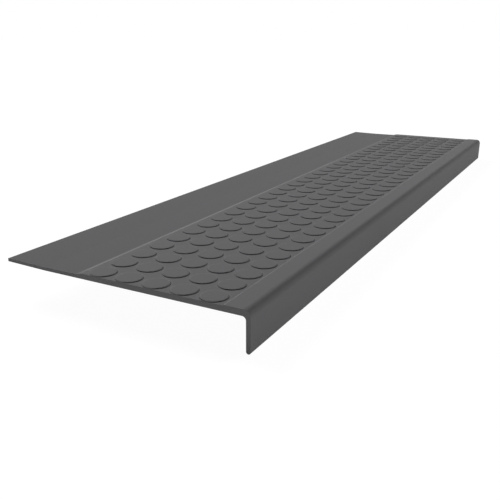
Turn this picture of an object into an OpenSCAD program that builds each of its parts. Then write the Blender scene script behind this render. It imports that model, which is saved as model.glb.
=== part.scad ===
// Rubber stair tread with round studs and a square nose, moulded as one piece.
// X runs along the tread, the nose is toward -Y, +Z is up, and the nose tip is at Z = 0.

/* [Tread] */

// Length of the tread along the step
tread_length = 1134; // [300:1:2000]
// Depth from the front of the nose to the back edge
tread_depth = 311; // [200:1:450]
// Height from the tip of the nose to the top of the studs
nose_height = 44.75; // [25:0.05:80]
// Thickness of the front zone under the studs
field_thickness = 6.1; // [3:0.1:12]

/* [Back section] */

// Depth of the smooth back section, from the back edge to the foot of the ramp
back_depth = 100.7; // [60:0.1:230]
// Thickness of the smooth back section at the back edge
back_thickness = 3.5; // [1.5:0.1:8]
// Thickness of the smooth back section at the foot of the ramp
ramp_foot_thickness = 4.1; // [1.5:0.1:8]
// Depth of the ramp between the back section and the studded zone
ramp_depth = 8; // [1:0.5:30]
// Depth over which the thin back edge turns up
heel_depth = 55; // [5:1:90]
// How far the back edge turns up from the level of the underside
heel_rise = 1.2; // [0.1:0.1:3]

/* [Studs] */

// Distance between stud centres, along and across the tread
stud_pitch = 34.1; // [29:0.1:60]
// Diameter of a stud at its foot
stud_diameter = 28.6; // [5:0.1:34]
// Height of the studs above the studded zone
stud_height = 1.1; // [0.4:0.05:4]
// Width of the sloping rim around the top of a stud
stud_rim_width = 1; // [0.2:0.1:2.4]
// How far the rim of a stud slopes down
stud_rim_drop = 0.3; // [0.1:0.05:0.35]
// Distance from the left end to the centres of the first studs
stud_end_offset = 14.4; // [0:0.1:60]

/* [Nose] */

// Width of the raised front band behind the nose, measured from the nose face
band_width = 29.2; // [12:0.1:60]
// Height of the front band above the studded zone
band_height = 0.85; // [0.5:0.05:4]
// Width of the sloping back edge of the front band
band_rim_width = 1.2; // [0.2:0.1:4]
// How far the back edge of the front band slopes down
band_rim_drop = 0.35; // [0.1:0.05:0.8]
// Thickness of the nose leg that hangs over the step edge
leg_thickness = 4.9; // [3:0.1:12]
// Radius of the outer edge where the top turns down into the nose
nose_radius = 8; // [1:0.1:10]
// Radius of the inner corner that sits on the step edge
inner_radius = 4.2; // [0.5:0.1:12]

/* [Hidden] */

$fn = 96;

front_y = -tread_depth / 2;
back_y = tread_depth / 2;
field_z = nose_height - stud_height;
band_z = field_z + band_height;
under_z = field_z - field_thickness;
leg_y = front_y + leg_thickness;
tip_radius = leg_thickness / 2;

// thickness where the back edge starts to turn up
heel_thickness = back_thickness
    + (ramp_foot_thickness - back_thickness) * heel_depth / back_depth;

// the studded zone lies between the ramp and the front band, and holds full rows only
zone_back_y = back_y - back_depth - ramp_depth;
zone_front_y = front_y + band_width;
zone_depth = zone_back_y - zone_front_y;
stud_radius = stud_diameter / 2;
stud_foot = 1.5;
stud_rows = max(1, floor(zone_depth / stud_pitch));
stud_columns = 1 + floor((tread_length - stud_end_offset - stud_radius) / stud_pitch);
first_stud_x = -tread_length / 2 + stud_end_offset;
first_stud_y = (zone_back_y + zone_front_y) / 2 + (stud_rows - 1) * stud_pitch / 2;

// Plate and nose leg in section, with square corners: section X is world Y, section Y is world Z
module square_section() {
    polygon([
        [back_y, under_z + heel_rise],
        [back_y, under_z + heel_rise + back_thickness],
        [back_y - heel_depth, under_z + heel_thickness],
        [back_y - back_depth, under_z + ramp_foot_thickness],
        [zone_back_y, field_z],
        [zone_front_y, field_z],
        [zone_front_y, band_z - band_rim_drop],
        [zone_front_y - band_rim_width, band_z],
        [front_y, band_z],
        [front_y, tip_radius],
        [leg_y, tip_radius],
        [leg_y, under_z],
        [back_y - heel_depth, under_z]
    ]);
}

// Full section with the rounded nose edge, inner corner and leg tip
module tread_section() {
    difference() {
        union() {
            square_section();
            translate([front_y + tip_radius, tip_radius]) circle(r = tip_radius);
            // inner corner between the leg and the underside
            difference() {
                translate([leg_y - 1, under_z - inner_radius])
                    square([inner_radius + 1, inner_radius + 1]);
                translate([leg_y + inner_radius, under_z - inner_radius])
                    circle(r = inner_radius);
            }
        }
        // outer edge of the nose
        difference() {
            translate([front_y - 1, band_z - nose_radius])
                square([nose_radius + 1, nose_radius + 1]);
            translate([front_y + nose_radius, band_z - nose_radius])
                circle(r = nose_radius);
        }
    }
}

// One stud with its sloping rim, standing on the studded zone and sunk a little into it
module stud() {
    translate([0, 0, field_z - stud_foot])
        cylinder(h = stud_foot + stud_height - stud_rim_drop, r = stud_radius);
    translate([0, 0, nose_height - stud_rim_drop])
        cylinder(h = stud_rim_drop, r1 = stud_radius, r2 = stud_radius - stud_rim_width);
}

// A column of studs, trimmed flush where it runs past the left end of the tread
module stud_column(x) {
    if (abs(x) + stud_radius > tread_length / 2)
        intersection() {
            plain_column(x);
            translate([-tread_length / 2, front_y, 0])
                cube([tread_length, tread_depth, nose_height * 2]);
        }
    else
        plain_column(x);
}

module plain_column(x) {
    for (row = [0 : stud_rows - 1])
        translate([x, first_stud_y - row * stud_pitch, 0]) stud();
}

// The whole moulding: section extruded along the tread, with the field of studs on top
module stair_tread() {
    color([0.38, 0.38, 0.39])
    union() {
        translate([-tread_length / 2, 0, 0])
            rotate([90, 0, 90])
                linear_extrude(height = tread_length) tread_section();
        for (column = [0 : stud_columns - 1])
            stud_column(first_stud_x + column * stud_pitch);
    }
}

stair_tread();
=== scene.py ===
import math

import bpy
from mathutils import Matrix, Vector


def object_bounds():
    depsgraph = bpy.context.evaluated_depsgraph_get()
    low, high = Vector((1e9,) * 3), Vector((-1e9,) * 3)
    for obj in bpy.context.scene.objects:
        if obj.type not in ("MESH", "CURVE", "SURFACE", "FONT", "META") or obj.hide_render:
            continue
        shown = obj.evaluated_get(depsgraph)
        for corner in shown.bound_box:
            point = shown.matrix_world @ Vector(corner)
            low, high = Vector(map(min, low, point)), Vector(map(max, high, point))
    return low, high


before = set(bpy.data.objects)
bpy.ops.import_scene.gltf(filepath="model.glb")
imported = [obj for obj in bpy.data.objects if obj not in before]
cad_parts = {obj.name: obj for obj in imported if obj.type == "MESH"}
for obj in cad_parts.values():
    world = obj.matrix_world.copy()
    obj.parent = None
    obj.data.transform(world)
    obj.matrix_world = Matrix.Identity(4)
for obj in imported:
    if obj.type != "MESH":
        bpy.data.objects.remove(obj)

# Rubber stair tread in matt charcoal, on a white studio floor. Metres throughout:
# X runs along the tread, the nose faces -Y and +Z is up. The photographed near end is at -X.

treadLow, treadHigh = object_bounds()
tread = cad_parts["stair_tread"]
print("frame: tread box", [round(v, 4) for v in (*treadLow, *treadHigh)])


class Wire:
    # A node socket that can stand in a sum or product; numbers may be on either side.
    def __init__(self, tree, socket=None):
        self.tree = tree
        self.socket = socket

    def add(self, kind, settings, sockets, output=0):
        # Any node: its settings come first, then the values or links of its sockets
        node = self.tree.nodes.new(kind)
        for name, value in settings.items():
            setattr(node, name, value)
        for name, value in sockets.items():
            if isinstance(value, Wire):
                self.tree.links.new(value.socket, node.inputs[name])
            else:
                node.inputs[name].default_value = value
        return Wire(self.tree, node.outputs[output] if node.outputs else None)

    def calc(self, operation, first, second=0.0):
        return self.add("ShaderNodeMath", {"operation": operation}, {0: first, 1: second})

    def fade(self, edge, full):
        # A soft step from 0 at the edge to 1 where it is full; either may be the larger
        return self.add("ShaderNodeMapRange", {"interpolation_type": "SMOOTHSTEP"}, {
            "Value": self, "From Min": edge, "From Max": full})

    def __add__(self, other):
        return self.calc("ADD", self, other)

    def __radd__(self, other):
        return self.calc("ADD", other, self)

    def __sub__(self, other):
        return self.calc("SUBTRACT", self, other)

    def __rsub__(self, other):
        return self.calc("SUBTRACT", other, self)

    def __mul__(self, other):
        return self.calc("MULTIPLY", self, other)

    def __rmul__(self, other):
        return self.calc("MULTIPLY", other, self)


def emptyMaterial(name):
    material = bpy.data.materials.new(name)
    material.use_nodes = True
    material.node_tree.nodes.clear()
    return material, Wire(material.node_tree)


# Charcoal rubber: one material. The tones are shares by which the colour gets lighter or
# darker, on the top only:
# painted highlights along the ramp and the band's back edge, painted shade where the top turns
# into the nose, painted light round the studs, and a darker studded zone.

rubber = {
    "colour": (0.1130, 0.1127, 0.1163),
    "roughness": 0.85,
    "backRoughness": 0.96,        # the smooth back section is duller
    "specular": 0.25,
    "cloud": {"Scale": 7.0, "Detail": 3.0, "Roughness": 0.5},     # broad, faint tone changes
    "cloudTone": 0.03,
    "grain": {"Scale": 1400.0, "Detail": 2.0, "Roughness": 0.6},  # fine moulded grain
    "grainTone": 0.12,
    "grainDepth": 0.00007,
    "noiseMiddle": 0.5,           # mean value of both noises
    "endMargin": 0.0001,          # keeps the tones off the two end faces
    "topDepth": 0.00475,          # the whole top lies less than this below the highest point
    "rampFromBack": 0.1047,       # middle of the ramp, from the back edge
    "rampHalf": 0.0035,           # half the width of its painted highlight line
    # painted highlight: a lighter line along the ramp
    "rampHighlight": 0.36,
    "rampEndFade": (0.012, 0.016),   # stretch before each end where the painted highlight fades out
    "rampFarFade": (0.377, 0.447),   # measured from the far end: past this stretch the painted highlight is lost
    "bandFromNose": 0.0286,       # sloping back edge of the front band, from the nose face
    "bandHalf": 0.0014,
    # painted highlight along the band's sloping back edge
    "bandHighlight": 0.38,
    "turnFromNose": 0.0037,       # where the top starts to turn down into the nose
    "turnHalf": 0.0028,
    # painted shade along the line where the top turns down into the nose
    "turnShade": -0.11,
    "fieldTone": -0.05,           # the studded zone between the ramp and the band
    "studStart": (0.0144, 0.04755),  # first stud's centre, from the near end and the nose face
    "studCount": (33, 5),
    "studPitch": 0.0341,
    "studRadius": 0.0143,
    "roundFrom": 0.0120,          # the tops of the studs are softly rounded from here outward
    "roundDepth": 0.00006,
    "ringMiddle": 0.0153,         # painted light: a faint lighter ring round the foot of each stud, over its rim and the shadow it casts
    "ringHalf": 0.0028,
    "ringLight": 0.13,
}
rampY = treadHigh.y - rubber["rampFromBack"]
bandY = treadLow.y + rubber["bandFromNose"]
turnY = treadLow.y + rubber["turnFromNose"]


def stripe(distance, half):
    # 1 where the distance from the middle of the stripe is 0, and 0 from half its width on
    return distance.calc("ABSOLUTE", distance).fade(half, 0.0)


def fromStud(value, direction):
    # How far a place is from the nearest stud centre, along X (0) or Y (1)
    pitch = rubber["studPitch"]
    along = value - (treadLow[direction] + rubber["studStart"][direction])
    nearest = value.calc("ROUND", along * (1 / pitch))
    nearest = value.calc("MAXIMUM", nearest, 0.0)
    nearest = value.calc("MINIMUM", nearest, rubber["studCount"][direction] - 1)
    return along - nearest * pitch


def topPaintedLightAndTone(x, y, fromEnd, radius):
    # The painted highlight lines, the painted shade at the nose, the darker studded zone and
    # the painted light rings round the studs, summed as one share
    field = y.fade(bandY, bandY + 2 * rubber["bandHalf"])
    field = field * y.fade(rampY, rampY - 2 * rubber["rampHalf"])
    # painted highlight on the ramp, faded out near both ends and toward the far end
    ramp = stripe(y - rampY, rubber["rampHalf"]) * fromEnd.fade(*rubber["rampEndFade"])
    ramp = ramp * (treadHigh.x - x).fade(*rubber["rampFarFade"])
    return (
        rubber["fieldTone"] * field
        + rubber["rampHighlight"] * ramp
        + rubber["bandHighlight"] * stripe(y - bandY, rubber["bandHalf"])
        + rubber["turnShade"] * stripe(y - turnY, rubber["turnHalf"])
        + rubber["ringLight"] * stripe(radius - rubber["ringMiddle"], rubber["ringHalf"]))


def makeRubber():
    material, start = emptyMaterial("charcoalRubber")
    place = start.add("ShaderNodeTexCoord", {}, {}, "Object")
    x, y, z = (start.add("ShaderNodeSeparateXYZ", {}, {0: place}, axis) for axis in "XYZ")
    cloud, grain = (
        start.add("ShaderNodeTexNoise", {}, {"Vector": place, **rubber[name]}, "Fac")
        for name in ("cloud", "grain"))
    middle = rubber["noiseMiddle"]
    mottle = (cloud - middle) * rubber["cloudTone"] + (grain - middle) * rubber["grainTone"]

    sideways = fromStud(x, 0)
    forward = fromStud(y, 1)
    radius = start.calc("SQRT", sideways * sideways + forward * forward)
    fromEnd = treadHigh.x - rubber["endMargin"] - start.calc("ABSOLUTE", x)
    insideEnds = start.calc("GREATER_THAN", fromEnd, 0.0)
    onTop = insideEnds * start.calc("GREATER_THAN", z, treadHigh.z - rubber["topDepth"])
    # painted light and shade, and the darker studded zone, on the top only
    paintedLightAndTone = onTop * topPaintedLightAndTone(x, y, fromEnd, radius)
    colour = start.add("ShaderNodeVectorMath", {"operation": "SCALE"}, {
        0: rubber["colour"], "Scale": (1.0 + mottle) * (1.0 + paintedLightAndTone)})

    back = y.fade(rampY, rampY + 2 * rubber["rampHalf"])
    roughness = rubber["roughness"] + back * (rubber["backRoughness"] - rubber["roughness"])
    crown = onTop * radius.fade(rubber["studRadius"], rubber["roundFrom"])
    relief = grain * rubber["grainDepth"] + crown * rubber["roundDepth"]
    bump = start.add("ShaderNodeBump", {}, {"Strength": 1.0, "Distance": 1.0, "Height": relief})
    surface = start.add("ShaderNodeBsdfPrincipled", {}, {
        "Base Color": colour,
        "Roughness": roughness,
        "Specular IOR Level": rubber["specular"],
        "Normal": bump})
    start.add("ShaderNodeOutputMaterial", {}, {"Surface": surface})
    return material


rubberMaterial = makeRubber()
for slot in tread.material_slots:
    slot.material = rubberMaterial
print("rubber: material on", tread.name, "slots", len(tread.material_slots))


# White studio floor: the camera sees it as white, less a faint share of the shadow on it

studio = {
    "floorSize": 60.0,
    "floorColour": (0.85, 0.85, 0.85, 1.0),
    "floorGlow": 0.62,       # light of the bright floor around the part, on its sides
    "shadowShare": 0.10,
    "skyLight": 0.05,
}
# Distant lamps, in degrees: azimuth runs from +X toward +Y
lamps = {
    "keyLight": {"strength": 2.54, "azimuth": 67.0, "elevation": 35.0, "spread": 25.0},
    "sideFill": {"strength": 1.00, "azimuth": -30.0, "elevation": 40.0, "spread": 30.0},
}


def seenDirectly(start):
    # 1 for rays that should meet the white background, 0 for the light on the part
    path = start.tree.nodes.new("ShaderNodeLightPath")
    camera, glossy, through = (
        Wire(start.tree, path.outputs[name])
        for name in ("Is Camera Ray", "Is Glossy Ray", "Is Transmission Ray"))
    return start.calc("MINIMUM", camera + glossy + through, 1.0)


def makeFloor():
    bpy.ops.object.select_all(action="DESELECT")
    bpy.ops.mesh.primitive_plane_add(size=studio["floorSize"], location=(0, 0, 0))
    floor = bpy.context.object
    floor.name = "studioFloor"
    material, start = emptyMaterial("studioWhite")
    matt = start.add("ShaderNodeBsdfDiffuse", {}, {"Color": studio["floorColour"]})
    glow = start.add("ShaderNodeEmission", {}, {"Strength": studio["floorGlow"]})
    lit = start.add("ShaderNodeAddShader", {}, {0: matt, 1: glow})
    white = start.add("ShaderNodeEmission", {}, {"Strength": 1.0})
    mixed = start.add("ShaderNodeMixShader", {}, {
        0: seenDirectly(start) * (1 - studio["shadowShare"]), 1: lit, 2: white})
    start.add("ShaderNodeOutputMaterial", {}, {"Surface": mixed})
    floor.data.materials.append(material)
    print("stage: floor")


def makeSky():
    world = bpy.data.worlds.new("studioSky")
    bpy.context.scene.world = world
    world.use_nodes = True
    world.node_tree.nodes.clear()
    start = Wire(world.node_tree)
    level = studio["skyLight"] + seenDirectly(start) * (1 - studio["skyLight"])
    light = start.add("ShaderNodeBackground", {}, {"Color": (1, 1, 1, 1), "Strength": level})
    start.add("ShaderNodeOutputWorld", {}, {"Surface": light})
    print("stage: sky")


def makeLamp(name, lamp):
    data = bpy.data.lights.new(name, "SUN")
    data.energy = lamp["strength"]
    data.angle = math.radians(lamp["spread"])
    light = bpy.data.objects.new(name, data)
    bpy.context.scene.collection.objects.link(light)
    light.rotation_euler = (
        0,
        math.radians(90 - lamp["elevation"]),
        math.radians(lamp["azimuth"]))
    print("stage: lamp", name)


# Camera, placed from the near end, the back edge and the floor

view = {
    "beforeNearEnd": 0.4616,
    "fromBackEdge": 0.5643,
    "aboveFloor": 0.27925,
    "heading": 0.503,        # radians from +X toward +Y
    "downTilt": 0.3241,      # radians below the horizon
    "lens": 45.92,           # millimetres, as is the sensor
    "sensor": 36.0,
}


def makeCamera():
    data = bpy.data.cameras.new("photoCamera")
    data.lens = view["lens"]
    data.sensor_width = view["sensor"]
    camera = bpy.data.objects.new("photoCamera", data)
    bpy.context.scene.collection.objects.link(camera)
    camera.location = (
        treadLow.x - view["beforeNearEnd"],
        treadHigh.y - view["fromBackEdge"],
        view["aboveFloor"])
    camera.rotation_euler = (
        math.pi / 2 - view["downTilt"],
        0,
        view["heading"] - math.pi / 2)
    bpy.context.scene.camera = camera
    print("camera: lens", view["lens"])


makeFloor()
makeSky()
for name, lamp in lamps.items():
    makeLamp(name, lamp)
makeCamera()
bpy.context.scene.view_settings.view_transform = "Standard"
